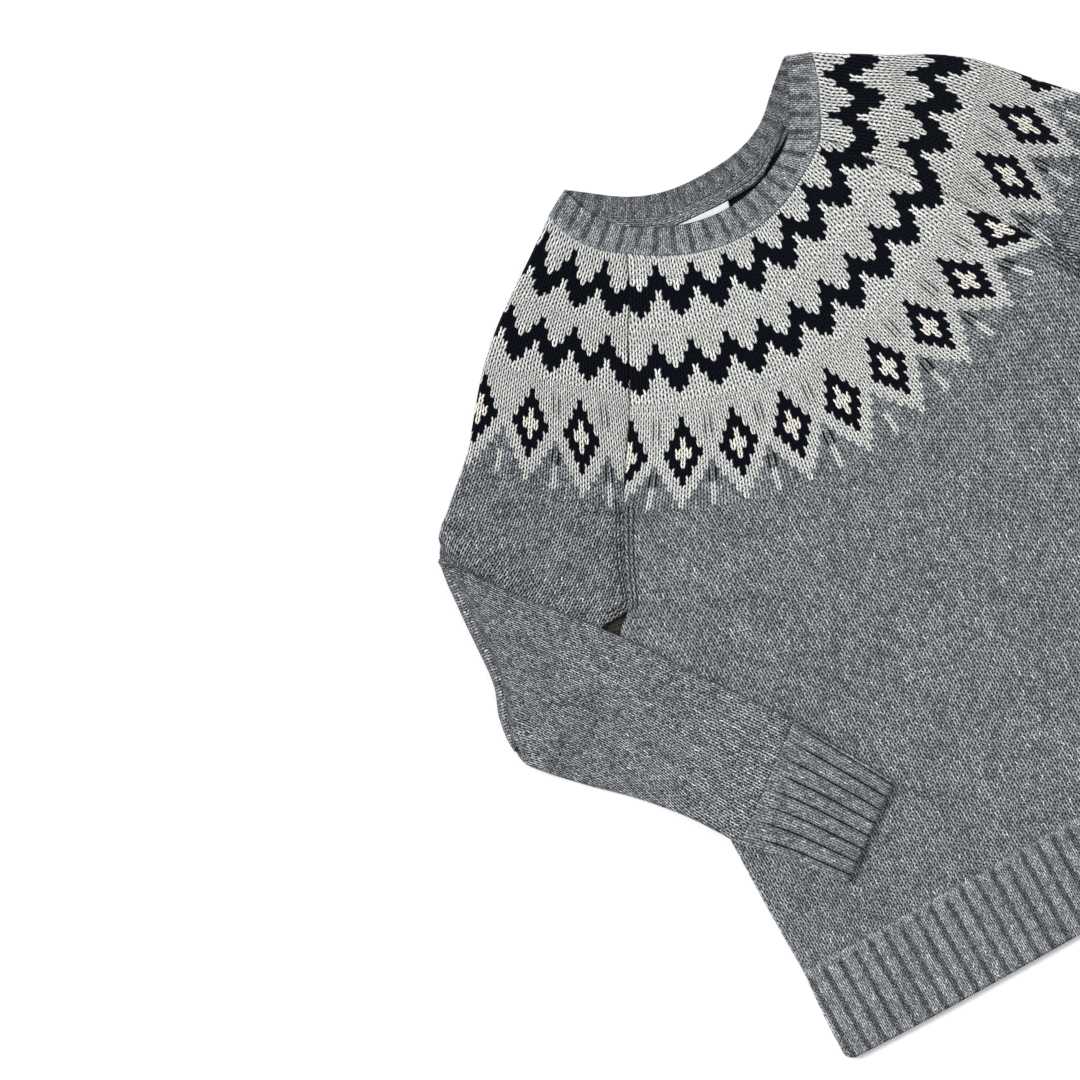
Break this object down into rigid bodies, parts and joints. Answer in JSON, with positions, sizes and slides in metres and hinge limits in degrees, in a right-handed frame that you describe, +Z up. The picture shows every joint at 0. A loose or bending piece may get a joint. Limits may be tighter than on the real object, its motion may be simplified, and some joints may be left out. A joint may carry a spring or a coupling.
{
  "type": "fair isle jumper",
  "caption": "Raglan knitted jumper laid flat with folded-in sleeves, a patterned round yoke, and a ribbed neckband, cuffs and hem.",
  "frame": {"origin": "middle of the laid jumper's outline, on the surface that it lies on", "axes": "+Z up from the surface, +Y towards the neck, +X towards the right of the view, where the wearer's left sleeve lies"},
  "size_m": [0.6944, 0.6814, 0.014],
  "materials": {
    "fair_isle_knit": "marled grey stocking stitch with a light grey, navy and cream yoke",
    "rib_knit": "marled grey rib",
    "neck_tape": "marled grey stocking stitch strip",
    "label": "plain white woven satin"
  },
  "bodies": {
    "root": {"front": "fair_isle_knit", "back": "fair_isle_knit", "hem_front": "rib_knit", "hem_back": "rib_knit", "sleeve_left": "fair_isle_knit", "sleeve_right": "fair_isle_knit", "cuff_left": "rib_knit", "cuff_right": "rib_knit", "neckband": "rib_knit", "neck_tape": "neck_tape", "neck_label": "label"}
  },
  "joints": []
}
